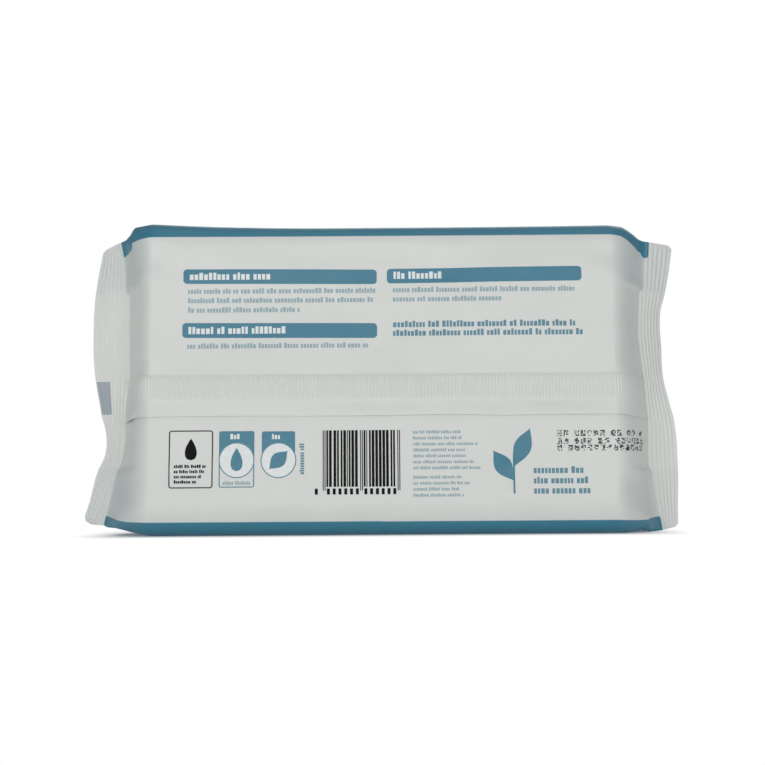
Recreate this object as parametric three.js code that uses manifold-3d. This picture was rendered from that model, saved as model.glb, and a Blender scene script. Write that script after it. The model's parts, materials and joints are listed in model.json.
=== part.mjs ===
// Wet wipes pack: a full flow-wrapped film pack with a moulded flip lid on its front panel.
// Millimetres, +Z up. The pack stands on one long gusset side, with its seamed back panel towards -Y and
// its lid towards +Y. The origin is on the standing face, under the plane of the two end seals.

import * as THREE from 'three';
import { LoftGeometry } from 'three/addons/geometries/LoftGeometry.js';
import { mergeVertices } from 'three/addons/utils/BufferGeometryUtils.js';
import Module from 'manifold-3d';

// Film body
const BODY_HEIGHT = 117; // standing height, gusset side to gusset side
const FLAT_HALF_LENGTH = 86; // half the length over which both panels are flat
const FRONT_DEPTH = 22; // front panel from the seal plane
const BACK_DEPTH_FOOT = 26; // back panel from the seal plane, at the foot
const BACK_DEPTH_TOP = 22; // the same at the top: the wet stack settles, so the foot is thicker
const BACK_FOOT_RADIUS = 12; // long edges of the body
const FRONT_FOOT_RADIUS = 9;
const BACK_TOP_RADIUS = 8;
const FRONT_TOP_RADIUS = 8;
const SHOULDER_SHARE = 0.3; // share of an end slope's length at which its shoulder would turn, if sharp
const EDGE_STEPS = 4; // facets across a rounded long edge
const GUSSET_STEPS = 4; // facets across a gusset side
const PANEL_STEPS = 7; // facets up a panel
const SLOPE_STEPS = 9; // sections along an end slope

// End seals: film crimped flat in ridges that run along the seal
const SEAL_THICKNESS = 1.1;
const SEAL_CRIMP = 0.3; // half the height of a ridge
const SEAL_RIDGES = 6;
const SEAL_OVERLAP = 3; // how far the seal's film reaches inside the body
const SEAL_PLAIN = 0.8; // flat strip between the body and the first ridge
const SEAL_CORNER = 3.5; // radius of the cut corners
const SEAL_STEPS = 9; // sections up a seal

// The two ends are pulled in at mid-height and flare at the foot, each in its own way. Curves give the
// distance from the middle at a height, as [height, distance]; tucks are the gussets folded in at the seal.
const LEFT_END = {
  side: -1,
  top: { height: 115, slopeStart: 0.6, tuck: 21 },
  foot: { height: 4, slopeStart: 0.1, tuck: 23 },
  root: [[4, 109.6], [24, 104.9], [36, 101.5], [56, 99.9], [92, 99.9], [115, 102]],
  cut: [[4, 117.4], [23, 113.4], [36, 109.7], [58, 112.4], [80, 112.8], [100, 112], [115, 110.6]],
  lean: [[4, 3], [36, 4], [75, -1], [115, 3]],
};
const RIGHT_END = {
  side: 1,
  top: { height: 114.5, slopeStart: 0.15, tuck: 21 },
  foot: { height: 0.3, slopeStart: 0.6, tuck: 26 },
  root: [[0.3, 110], [16.5, 107.2], [30, 104.8], [46, 104.6], [67, 101.4], [92, 101.4], [114.5, 103.3]],
  cut: [[0.3, 115.2], [36, 114.2], [62, 110.6], [82, 110.4], [100, 112.6], [114.5, 115.4]],
  lean: [[0.3, 3], [40, 1], [80, 5], [114.5, 3]],
};

// Back seam: the two film edges crimped together and folded down flat on the back panel
const SEAM_FOLD_HEIGHT = 60.5; // fold at the top of the seam
const SEAM_CRIMP_FOOT = 51; // lower edge of the crimped band
const SEAM_FREE_EDGE = 44.5; // loose edge of the plain margin under the band
const SEAM_PITCH = 1.25; // from rib to rib
const SEAM_CREST = 0.85; // rib height over the panel
const SEAM_VALLEY = 0.4;
const SEAM_MARGIN_THICKNESS = 0.6;
const SEAM_SUNK = 0.5; // how far the seam's solids reach inside the panel

// Flip lid
const LID_HEIGHT = 59; // centre of the lid above the standing face
const SEAT_GAP = 0.3; // adhesive under the frame and under the seal label
const FLANGE = { width: 104, height: 68, radius: 16 };
const FLANGE_THICKNESS = 1.2;
const WINDOW = { width: 66, height: 34, radius: 14 };
const RIM_WALL = 1.6; // wall that stands round the window
const RIM_HEIGHT = 3.5; // above the flange
const FLAP = { width: 92, height: 56, radius: 13 };
const FLAP_WALL = 1.2;
const FLAP_HEIGHT = 6.5; // from the flange to the flap's outer face
const FLAP_LIFT = 0.3; // running gap between the flap's skirt and the flange
const FLAP_ROUND = 1.6; // rounding of the flap's outer edge
const RING_CLEARANCE = 0.4; // between the flap's sealing ring and the rim
const RING_WALL = 1;
const RING_DEPTH = 4.3; // below the flap's plate
const TAB = { width: 26, height: 12, radius: 5 };
const TAB_REACH = 4.2; // thumb tab past the flap's edge
const TAB_THICKNESS = 1.8;
const TAB_DROP = 0.6; // tab's outer face below the flap's
const HINGE_LENGTH = 58;
const HINGE_GAP = 0.7; // between the flap's edge and the hinge ledge
const HINGE_HEIGHT = 2.8; // hinge line above the flange
const LEDGE_DEPTH = 3.2; // ledge from front to back
const LEDGE_FALL = 1.5; // the ledge's top falls away, so that the open flap clears it
const LEDGE_CLEARANCE = 0.2; // ledge top under the hinge line
const LABEL_MARGIN = 2.2; // between the seal label and the window's edge
const LABEL_THICKNESS = 0.3;
const LABEL_TAB = 9; // pull tab's length
const LABEL_TAB_WIDTH = 14;
const CURVE_STEPS = 6; // facets of a quarter-round corner

const wasm = await Module();
wasm.setup();

function solid(geometry) {
  const bare = new THREE.BufferGeometry();
  bare.setAttribute('position', geometry.getAttribute('position'));
  bare.setIndex(geometry.index);
  const merged = mergeVertices(bare, 1e-4);
  const corners = merged.index.array;
  const triangles = [];
  for (let i = 0; i < corners.length; i += 3) {
    const [a, b, c] = corners.slice(i, i + 3);
    if (a !== b && b !== c && c !== a) triangles.push(a, b, c);
  }
  return new wasm.Manifold(new wasm.Mesh({
    numProp: 3,
    vertProperties: new Float32Array(merged.attributes.position.array),
    triVerts: new Uint32Array(triangles),
  }));
}

function namedMesh(name, body, look) {
  const result = body.getMesh();
  const geometry = new THREE.BufferGeometry();
  geometry.setAttribute('position', new THREE.BufferAttribute(result.vertProperties, 3));
  geometry.setIndex(new THREE.BufferAttribute(result.triVerts, 1));
  geometry.computeVertexNormals();
  const mesh = new THREE.Mesh(geometry, new THREE.MeshStandardMaterial(look));
  mesh.name = name;
  return mesh;
}

// A smooth curve through [height, value] points, read at any height.
function heightCurve(points) {
  const curve = new THREE.CatmullRomCurve3(points.map(([z, value]) => new THREE.Vector3(value, 0, z)));
  const fine = curve.getPoints(24 * points.length);
  return (z) => {
    const above = fine.findIndex((p) => p.z >= z);
    if (above <= 0) return above === 0 ? fine[0].x : fine.at(-1).x;
    const [low, high] = [fine[above - 1], fine[above]];
    return THREE.MathUtils.mapLinear(z, low.z, high.z, low.x, high.x);
  };
}

const ramp = (value, start) => Math.max(0, (value - start) / (1 - start));

// Film body

function backDepth(z) {
  return THREE.MathUtils.mapLinear(z, 0, BODY_HEIGHT, BACK_DEPTH_FOOT, BACK_DEPTH_TOP);
}

// The slope from the flat panel's end to the seal root, seen from above: x outwards, y the share of depth.
function slopeCurve(root) {
  const run = root - FLAT_HALF_LENGTH;
  return new THREE.QuadraticBezierCurve(
    new THREE.Vector2(FLAT_HALF_LENGTH, 1),
    new THREE.Vector2(FLAT_HALF_LENGTH + SHOULDER_SHARE * run, 1),
    new THREE.Vector2(root, 0),
  );
}

// One section of the body at a share of an end's slope, from 0 at the flat panel to 1 at the seal root. It
// runs along the foot to the front, up the front panel, back over the top and down the back panel.
function bodySection(end, share) {
  const rootAt = heightCurve(end.root);
  const topZ = BODY_HEIGHT - (BODY_HEIGHT - end.top.height) * ramp(share, end.top.slopeStart);
  const footZ = end.foot.height * ramp(share, end.foot.slopeStart);
  const topTuck = end.top.tuck * share;
  const footTuck = end.foot.tuck * share;
  const point = (depth, z) => {
    const onSlope = slopeCurve(rootAt(z)).getPoint(share);
    return new THREE.Vector3(end.side * onSlope.x, onSlope.y * depth, z);
  };
  const thin = slopeCurve(rootAt(footZ)).getPoint(share).y;
  const softer = (radius) => radius * thin;
  const points = [];

  // A rounded long edge, turning from one side of the section to the next.
  const edge = (depth, radius, z, up, fromSide) => {
    const r = softer(radius);
    for (let i = 0; i <= EDGE_STEPS; i += 1) {
      const turn = (Math.PI / 2) * (fromSide ? i : EDGE_STEPS - i) / EDGE_STEPS;
      const p = point(depth, z + up * r * (1 - Math.cos(turn)));
      p.y -= Math.sign(depth) * r * (1 - Math.sin(turn));
      points.push(p);
    }
  };
  // A gusset side between two edges, tucked in along its middle line.
  const gusset = (tuck, z, up) => {
    const [depth, radius] = up > 0 ? [FRONT_DEPTH, FRONT_FOOT_RADIUS] : [-backDepth(z), BACK_TOP_RADIUS];
    const from = points.at(-1).y;
    const to = thin * (depth - Math.sign(depth) * radius);
    for (let i = 1; i < GUSSET_STEPS; i += 1) {
      const across = i / GUSSET_STEPS;
      const inwards = 1 - Math.abs(2 * across - 1);
      const p = point(depth, z + up * tuck * inwards);
      p.y = THREE.MathUtils.lerp(from, to, across);
      points.push(p);
    }
  };
  const panel = (depthAt, fromZ, toZ) => {
    for (let i = 1; i < PANEL_STEPS; i += 1) {
      const z = THREE.MathUtils.lerp(fromZ, toZ, i / PANEL_STEPS);
      points.push(point(depthAt(z), z));
    }
  };

  const front = () => FRONT_DEPTH;
  const back = (z) => -backDepth(z);
  edge(-backDepth(footZ), BACK_FOOT_RADIUS, footZ, 1, false);
  gusset(footTuck, footZ, 1);
  edge(FRONT_DEPTH, FRONT_FOOT_RADIUS, footZ, 1, true);
  panel(front, footZ + softer(FRONT_FOOT_RADIUS), topZ - softer(FRONT_TOP_RADIUS));
  edge(FRONT_DEPTH, FRONT_TOP_RADIUS, topZ, -1, false);
  gusset(topTuck, topZ, -1);
  edge(-backDepth(topZ), BACK_TOP_RADIUS, topZ, -1, true);
  panel(back, topZ - softer(BACK_TOP_RADIUS), footZ + softer(BACK_FOOT_RADIUS));
  return points;
}

function filmBody() {
  const shares = Array.from({ length: SLOPE_STEPS + 1 }, (_, i) => Math.sin((Math.PI / 2) * i / SLOPE_STEPS));
  const left = shares.map((share) => bodySection(LEFT_END, share)).reverse();
  const right = shares.map((share) => bodySection(RIGHT_END, share));
  return solid(new LoftGeometry([...left, ...right]));
}

// A crimped end seal, lofted upwards. Its corners are cut round.
function endSeal(end) {
  const rootAt = heightCurve(end.root);
  const cutAt = heightCurve(end.cut);
  const leanAt = heightCurve(end.lean);
  const low = end.foot.height;
  const high = end.top.height;
  const heights = [];
  for (let i = 0; i <= 3; i += 1) heights.push(low + SEAL_CORNER * (1 - Math.cos((Math.PI / 6) * i)));
  for (let i = 1; i < SEAL_STEPS; i += 1) {
    heights.push(THREE.MathUtils.lerp(low + SEAL_CORNER, high - SEAL_CORNER, i / SEAL_STEPS));
  }
  for (let i = 3; i >= 0; i -= 1) heights.push(high - SEAL_CORNER * (1 - Math.cos((Math.PI / 6) * i)));

  const sections = heights.map((z) => {
    const fromEnd = Math.min(z - low, high - z, SEAL_CORNER);
    const cornerCut = SEAL_CORNER - Math.sqrt(SEAL_CORNER ** 2 - (SEAL_CORNER - fromEnd) ** 2);
    const root = rootAt(z);
    const cut = cutAt(z) - cornerCut;
    const steps = 2 * SEAL_RIDGES;
    const skin = (offset) => {
      const inner = new THREE.Vector3(end.side * (root - SEAL_OVERLAP), offset, z);
      const ridges = Array.from({ length: steps + 1 }, (_, i) => new THREE.Vector3(
        end.side * THREE.MathUtils.lerp(root + SEAL_PLAIN, cut, i / steps),
        leanAt(z) * i / steps + offset + (i ? SEAL_CRIMP * (-1) ** i : 0),
        z,
      ));
      return [inner, ...ridges];
    };
    const ring = [...skin(-SEAL_THICKNESS / 2), ...skin(SEAL_THICKNESS / 2).reverse()];
    return end.side > 0 ? ring : ring.reverse();
  });
  return solid(new LoftGeometry(sections, { capStart: true, capEnd: true }));
}

// A strip of the back seam between two heights: a flat outline of length and thickness, extruded to its
// width and then wrapped along the back panel and down both end slopes.
function seamStrip(lowZ, highZ, tops) {
  const outline = new THREE.Shape();
  outline.moveTo(tops[0].x, -SEAM_SUNK);
  outline.lineTo(tops.at(-1).x, -SEAM_SUNK);
  tops.toReversed().forEach((top) => outline.lineTo(top.x, top.y));
  const strip = new THREE.ExtrudeGeometry(outline, { depth: highZ - lowZ, bevelEnabled: false });
  const position = strip.attributes.position;
  for (let i = 0; i < position.count; i += 1) {
    const [along, over, up] = [position.getX(i), position.getY(i), position.getZ(i)];
    position.setXYZ(i, ...onBackPanel(along, over, highZ - up));
  }
  return solid(strip);
}

function seamSlope(side) {
  const end = side < 0 ? LEFT_END : RIGHT_END;
  const middle = (SEAM_FOLD_HEIGHT + SEAM_FREE_EDGE) / 2;
  const flat = slopeCurve(heightCurve(end.root)(middle));
  const depth = backDepth(middle);
  const scaled = [flat.v0, flat.v1, flat.v2].map((p) => new THREE.Vector2(p.x, p.y * depth));
  return new THREE.QuadraticBezierCurve(...scaled);
}

const SEAM_SLOPES = new Map([-1, 1].map((side) => [side, seamSlope(side)]));

function onBackPanel(along, over, z) {
  const side = along < 0 ? -1 : 1;
  const past = Math.abs(along) - FLAT_HALF_LENGTH;
  if (past <= 0) return [along, -backDepth(z) - over, z];
  const slope = SEAM_SLOPES.get(side);
  const share = Math.min(1, past / slope.getLength());
  const place = slope.getPointAt(share);
  const tangent = slope.getTangentAt(share);
  const depth = place.y * backDepth(z) / slope.v0.y;
  return [side * (place.x - tangent.y * over), -depth - tangent.x * over, z];
}

function backSeam() {
  const reach = (side) => FLAT_HALF_LENGTH + SEAM_SLOPES.get(side).getLength() - SEAL_OVERLAP;
  const [left, right] = [-reach(-1), reach(1)];
  const ribs = 2 * Math.round((right - left) / SEAM_PITCH);
  const crimped = Array.from({ length: ribs + 1 }, (_, i) => new THREE.Vector2(
    THREE.MathUtils.lerp(left, right, i / ribs),
    i % 2 ? SEAM_CREST : SEAM_VALLEY,
  ));
  const plain = [];
  const slopeSteps = SLOPE_STEPS - 1;
  for (let i = slopeSteps; i >= 0; i -= 1) {
    const x = THREE.MathUtils.lerp(-FLAT_HALF_LENGTH, left, i / slopeSteps);
    plain.push(new THREE.Vector2(x, SEAM_MARGIN_THICKNESS));
  }
  for (let i = 0; i <= slopeSteps; i += 1) {
    const x = THREE.MathUtils.lerp(FLAT_HALF_LENGTH, right, i / slopeSteps);
    plain.push(new THREE.Vector2(x, SEAM_MARGIN_THICKNESS));
  }
  return seamStrip(SEAM_CRIMP_FOOT, SEAM_FOLD_HEIGHT, crimped)
    .add(seamStrip(SEAM_FREE_EDGE, SEAM_CRIMP_FOOT, plain));
}

function filmPack() {
  const body = filmBody().add(endSeal(LEFT_END)).add(endSeal(RIGHT_END)).add(backSeam());
  return namedMesh('film_pack', body, { color: 0xcdd0cd, roughness: 0.42, metalness: 0 });
}

// Flip lid. Its levels are measured outwards from the front panel.
const FLANGE_FACE = SEAT_GAP + FLANGE_THICKNESS;
const FLAP_FACE = FLANGE_FACE + FLAP_HEIGHT;
const HINGE_LEVEL = FLANGE_FACE + HINGE_HEIGHT;
const HINGE_LINE = FLAP.height / 2 + HINGE_GAP / 2; // above the lid's centre

function roundedOutline({ width, height, radius }, grow = 0) {
  const [w, h, r] = [width / 2 + grow, height / 2 + grow, radius + grow];
  const outline = new THREE.Shape();
  outline.absarc(w - r, h - r, r, 0, Math.PI / 2);
  outline.absarc(r - w, h - r, r, Math.PI / 2, Math.PI);
  outline.absarc(r - w, r - h, r, Math.PI, 1.5 * Math.PI);
  outline.absarc(w - r, r - h, r, 1.5 * Math.PI, 2 * Math.PI);
  outline.closePath();
  return outline;
}

// A plate of an outline in the lid's plane, between two levels.
function plate(outline, low, high, round = 0) {
  const geometry = new THREE.ExtrudeGeometry(outline, {
    depth: high - low - 2 * round,
    curveSegments: CURVE_STEPS,
    bevelEnabled: round > 0,
    bevelSize: round,
    bevelOffset: -round,
    bevelThickness: round,
    bevelSegments: 3,
  });
  geometry.rotateX(Math.PI / 2);
  geometry.translate(0, FRONT_DEPTH + high - round, LID_HEIGHT);
  return solid(geometry);
}

function lidFrame() {
  const flange = plate(roundedOutline(FLANGE), SEAT_GAP, FLANGE_FACE);
  const rim = plate(roundedOutline(WINDOW, RIM_WALL), SEAT_GAP, FLANGE_FACE + RIM_HEIGHT);
  const window = plate(roundedOutline(WINDOW), 0, FLAP_FACE);

  const ledgeFront = HINGE_LINE + HINGE_GAP / 2;
  const ledgeTop = HINGE_LEVEL - LEDGE_CLEARANCE;
  const profile = new THREE.Shape();
  profile.moveTo(SEAT_GAP, ledgeFront);
  profile.lineTo(ledgeTop, ledgeFront);
  profile.lineTo(ledgeTop - LEDGE_FALL, ledgeFront + LEDGE_DEPTH);
  profile.lineTo(SEAT_GAP, ledgeFront + LEDGE_DEPTH);
  const wedge = new THREE.ExtrudeGeometry(profile, { depth: HINGE_LENGTH, bevelEnabled: false });
  wedge.rotateX(Math.PI / 2);
  wedge.rotateZ(Math.PI / 2);
  wedge.translate(-HINGE_LENGTH / 2, FRONT_DEPTH, LID_HEIGHT);

  const body = flange.add(rim).subtract(window).add(solid(wedge));
  return namedMesh('lid_frame', body, { color: 0xeef0ee, roughness: 0.38, metalness: 0 });
}

function lidFlap() {
  const skirtFoot = FLANGE_FACE + FLAP_LIFT;
  const shell = plate(roundedOutline(FLAP), skirtFoot - FLAP_ROUND, FLAP_FACE, FLAP_ROUND);
  const hollow = plate(roundedOutline(FLAP, -FLAP_WALL), 0, FLAP_FACE - FLAP_WALL);
  const below = plate(roundedOutline(FLAP, FLAP_WALL), 0, skirtFoot);
  const ringFoot = FLAP_FACE - FLAP_WALL - RING_DEPTH;
  const ringInside = RIM_WALL + RING_CLEARANCE;
  const ring = plate(roundedOutline(WINDOW, ringInside + RING_WALL), ringFoot, FLAP_FACE - FLAP_WALL / 2);
  const bore = plate(roundedOutline(WINDOW, ringInside), 0, FLAP_FACE - FLAP_WALL);

  const tabFace = FLAP_FACE - TAB_DROP;
  const tabOutline = roundedOutline(TAB);
  const tab = plate(tabOutline, tabFace - TAB_THICKNESS, tabFace)
    .translate([0, 0, TAB.height / 2 - TAB_REACH - FLAP.height / 2]);

  const body = shell.add(tab).subtract(hollow).subtract(below).add(ring.subtract(bore));
  return namedMesh('lid_flap', body, { color: 0xf1f2f0, roughness: 0.35, metalness: 0 });
}

function openingSeal() {
  const label = {
    width: WINDOW.width - 2 * LABEL_MARGIN - LABEL_TAB,
    height: WINDOW.height - 2 * LABEL_MARGIN,
    radius: WINDOW.radius - LABEL_MARGIN,
  };
  const pull = { width: 2 * LABEL_TAB, height: LABEL_TAB_WIDTH, radius: LABEL_TAB_WIDTH / 2 };
  const face = SEAT_GAP + LABEL_THICKNESS;
  const tab = plate(roundedOutline(pull), SEAT_GAP, face).translate([label.width / 2, 0, 0]);
  const body = plate(roundedOutline(label), SEAT_GAP, face)
    .add(tab)
    .translate([-LABEL_TAB / 2, 0, 0]);
  return namedMesh('opening_seal', body, { color: 0xdfe5e6, roughness: 0.3, metalness: 0 });
}

const wipesPack = new THREE.Group();
wipesPack.add(filmPack(), lidFrame(), lidFlap(), openingSeal());

export default wipesPack;
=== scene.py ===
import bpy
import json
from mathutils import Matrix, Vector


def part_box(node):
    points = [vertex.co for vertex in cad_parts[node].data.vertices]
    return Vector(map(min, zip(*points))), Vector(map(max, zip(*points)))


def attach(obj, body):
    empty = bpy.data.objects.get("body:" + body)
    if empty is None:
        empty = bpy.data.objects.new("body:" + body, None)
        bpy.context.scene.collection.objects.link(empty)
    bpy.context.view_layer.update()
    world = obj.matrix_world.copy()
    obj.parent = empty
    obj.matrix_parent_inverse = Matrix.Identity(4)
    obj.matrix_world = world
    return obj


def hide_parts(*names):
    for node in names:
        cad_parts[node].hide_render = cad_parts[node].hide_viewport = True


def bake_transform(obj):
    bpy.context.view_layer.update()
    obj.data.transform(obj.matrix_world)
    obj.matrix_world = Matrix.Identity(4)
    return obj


bl_info = {
    "name": "Wet wipes pack",
    "version": (1, 0, 0),
    "blender": (4, 5, 0),
    "location": "3D View > Sidebar > Wipes pack",
    "description": "Film, print, flip lid and stage of a full pack of wet wipes",
    "category": "Object",
}

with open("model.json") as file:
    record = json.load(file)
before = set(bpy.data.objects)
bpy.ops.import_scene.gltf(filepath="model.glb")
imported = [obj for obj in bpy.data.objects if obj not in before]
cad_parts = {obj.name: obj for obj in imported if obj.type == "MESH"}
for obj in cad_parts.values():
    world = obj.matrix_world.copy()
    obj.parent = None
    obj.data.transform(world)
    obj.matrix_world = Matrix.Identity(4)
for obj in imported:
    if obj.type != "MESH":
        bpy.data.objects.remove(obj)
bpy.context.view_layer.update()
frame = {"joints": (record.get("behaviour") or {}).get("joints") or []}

import json
import math
import random

import bmesh
import bpy
import numpy as np
from bpy.props import FloatProperty, FloatVectorProperty, PointerProperty
from mathutils import Matrix, Vector

MM = 0.001
FILM_LOW, FILM_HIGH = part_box("film_pack")
FLANGE_LOW, FLANGE_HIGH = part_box("lid_frame")
FLAP_LOW, FLAP_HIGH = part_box("lid_flap")
LABEL_LOW, LABEL_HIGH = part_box("opening_seal")
HINGE = Vector(frame["joints"][0]["pos_m"])

# The film in millimetres: its height and depths are the solid's, the rest is its own
BODY_HEIGHT = FILM_HIGH.z / MM
FRONT_DEPTH = FILM_HIGH.y / MM
BACK_DEPTH_FOOT = -FILM_LOW.y / MM
FILM_HALF = 0.3  # half the thickness of the film layers pressed together at a seal
SHOULDER_SHARE = 0.42  # share of an end slope's run at which its shoulder would turn, if it were sharp


def linear(hex_colour):
    """An sRGB hex colour as linear values."""
    channels = [int(hex_colour[i:i + 2], 16) / 255 for i in (1, 3, 5)]
    return tuple(c / 12.92 if c <= 0.04045 else ((c + 0.055) / 1.055) ** 2.4 for c in channels)


def length(label, description, millimetres):
    """A length property, given in millimetres."""
    return FloatProperty(name=label, description=description, default=millimetres * MM, unit="LENGTH")


def angle(label, description, degrees):
    """An angle property, given in degrees."""
    return FloatProperty(name=label, description=description, default=math.radians(degrees), subtype="ANGLE")


def colour(label, description, hex_colour):
    """A colour property, given as sRGB hex."""
    return FloatVectorProperty(
        name=label, description=description, default=linear(hex_colour), subtype="COLOR", min=0, max=1)


class FilmSettings(bpy.types.PropertyGroup):
    """Sizes and colours of the film bag."""

    flat_half: length("Flat half length", "Half the length over which the panels are flat", 86)
    back_top_depth: length("Back depth at the top", "Back panel from the seal plane, at the top", 22)
    back_foot_round: length("Back foot edge", "Radius of the back panel's lower edge", 12)
    front_foot_round: length("Front foot edge", "Radius of the front panel's lower edge", 9)
    top_round: length("Top edges", "Radius of both upper edges", 8)
    seal_crimp: length("Seal ridge height", "Half the height of an end seal's ridges", 0.15)
    seam_fold: length("Seam fold", "Height of the back seam's fold", 59.7)
    seam_crimp_foot: length("Seam crimp foot", "Height of the crimped band's lower edge", 50.2)
    seam_free_edge: length("Seam free edge", "Height of the seam's loose edge", 44.2)
    seam_pitch: length("Seam rib pitch", "From rib to rib of the back seam", 1.25)
    white: colour("Film white", "Printed white of the film", "#dadcd7")
    teal: colour("Film teal", "Printed teal of the gusset sides and bars", "#377b91")
    mark: colour("Register mark", "Grey of the mark on the end seal", "#9ea8ad")
    veil: colour("Show-through", "White film with a tucked teal gusset behind it", "#c8d0ce")


class PrintSettings(bpy.types.PropertyGroup):
    """Colours of the plain print on the back panel."""

    text_teal: colour("Small print", "Pale teal of the small print's blocks", "#94acb4")
    strong_teal: colour("Strong print", "Deeper teal of the strong lines", "#558799")
    dark: colour("Dark ink", "Near black ink of bars and frames", "#08080a")
    pale: colour("Pale ink", "White of what is left open in teal fields", "#e4e8e6")
    lift: length("Ink lift", "Height of the printed fields over the film", 0.07)


class LidSettings(bpy.types.PropertyGroup):
    """Sizes and colours of the flip lid."""

    flange_radius: length("Flange corners", "Corner radius of the lid's flange", 16)
    flange_thickness: length("Flange thickness", "Thickness of the flange", 1.2)
    window_width: length("Window width", "Dispensing window along the pack", 66)
    window_height: length("Window height", "Dispensing window across the pack", 34)
    window_radius: length("Window corners", "Corner radius of the window", 14)
    rim_wall: length("Rim wall", "Wall that stands round the window", 1.6)
    flap_height: length("Flap height", "The flap's outline across the pack, without its tab", 56)
    flap_radius: length("Flap corners", "Corner radius of the flap", 13)
    flap_wall: length("Flap wall", "Wall of the flap", 1.2)
    hinge_length: length("Hinge length", "Length of the living hinge", 58)
    white: colour("Lid white", "White of the moulded lid", "#eceeec")
    label: colour("Seal label", "Pale grey of the peel-off seal", "#d8dfe1")


class StageSettings(bpy.types.PropertyGroup):
    """Camera and floor colour."""

    lens: FloatProperty(name="Lens", description="Focal length", default=55.8, unit="CAMERA")
    distance: length("Camera distance", "From the back panel to the camera", 440)
    aim_height: length("Aim height", "Height that the camera looks at", 56.45)
    elevation: angle("Elevation", "Camera above the horizon", -4.6)
    roll: angle("Roll", "Turn of the camera about its view", -0.4)
    floor: colour("Floor", "White of the floor and backdrop", "#ffffff")


# Shape of the film, in millimetres

STEP_BLEND = 1.2  # height over which a seal's root steps out at a tucked gusset
HOLLOW_BLEND = 7  # height over which a slope draws in towards a hollow
TUCK_DENT, TUCK_BLEND = 0.8, 0.8  # of the dent over a tuck near the root: depth, height of its edge
VEIL_BLEND = 1.5  # height over which a gusset begins to show through
SEAL_VEIL_LOSS = 0.65  # share of the show-through that is lost in the seal
TOP_SINK = 0.4  # how far the top edge's middle lies under the body's height
TOP_LEVEL, TOP_RISE = 0.24, 0.578  # share of the flat with a level top edge, divisor of the rise past it
FOOT_FADE, TOP_FADE = (6, 14), (4, 12)  # where the panel's relief begins past its edge, and over what height
PANEL_HOLLOW = 0.4
CORNER_DENT = (1.1, 87, 4.5, 106, 5)  # depth, distance from the middle, half width, height, half height
LID_CLEAR = (56, 14)  # the front swells from this distance off the middle, clear of the lid, over this length
FRONT_OFFSET = 300  # along the pack, so that the front's creases are others than the back's
ALL_TEAL = 9  # how far inside the teal the gusset sides count
MARK_HEIGHTS, MARK_SHARES = (46.6, 59.4), (0.57, 0.97)  # of the register mark; shares of the seal's width

# Unevenness: height, cell along the pack, cell upwards and seed of each layer
PANEL_SLACK = ((0.8, 58, 26, 3), (0.34, 23, 11, 8), (0.1, 9, 5, 21))
SLOPE_CREASES = ((0.5, 90, 7, 5), (0.3, 40, 3.4, 12))
FRONT_SWELL = ((0.6, 31, 17, 40),)
SEAM_EDGE_WAVE = ((0.35, 24, 10, 31),)


def curve_through(points):
    """A smooth curve through (height, value) points, read at any heights."""
    heights, values = np.array(points, float).T
    slopes = np.gradient(values, heights)

    def read(z):
        z = np.clip(z, heights[0], heights[-1])
        i = np.clip(np.searchsorted(heights, z) - 1, 0, len(heights) - 2)
        span = heights[i + 1] - heights[i]
        t = (z - heights[i]) / span
        near = values[i] * (2 * t**3 - 3 * t**2 + 1) + values[i + 1] * (3 * t**2 - 2 * t**3)
        return near + span * (slopes[i] * (t**3 - 2 * t**2 + t) + slopes[i + 1] * (t**3 - t**2))

    return read


class End:
    """One end of the pack: where the body runs into its seal, and where the seal is cut."""

    def __init__(self, side, ridges, tucks, hollows, steps, corners, ink_past, foot_veil,
                 top, foot, top_ink, foot_ink, root, cut, lean):
        self.side, self.ridges, self.foot_veil = side, ridges, foot_veil
        self.hollows, self.steps = hollows, steps
        self.top_tuck, self.foot_tuck = tucks
        self.top_corner, self.foot_corner = corners
        self.top_ink_past, self.foot_ink_past = ink_past
        self.top, self.foot, self.top_ink, self.foot_ink = (
            np.array(stations).T for stations in (top, foot, top_ink, foot_ink))
        self.plain_root, self.cut, self.lean = (curve_through(points) for points in (root, cut, lean))
        self.top_apex = np.interp(1, *self.top) - self.top_tuck
        self.foot_apex = np.interp(1, *self.foot) + self.foot_tuck

    def root(self, z):
        """Distance of the seal's root from the middle: it steps out where a gusset is tucked in."""
        return self.plain_root(z) + self.tucked(z, STEP_BLEND, *self.steps)

    def tucked(self, z, blend, top=1, foot=1):
        """The top's and the foot's value where a gusset lies behind the film, and 0 between them."""
        return top * smooth((z - self.top_apex) / blend) + foot * smooth((self.foot_apex - z) / blend)


def smooth(t):
    """A soft step: 0 up to 0, 1 from 1 on."""
    t = np.clip(t, 0, 1)
    return t * t * (3 - 2 * t)


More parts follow.
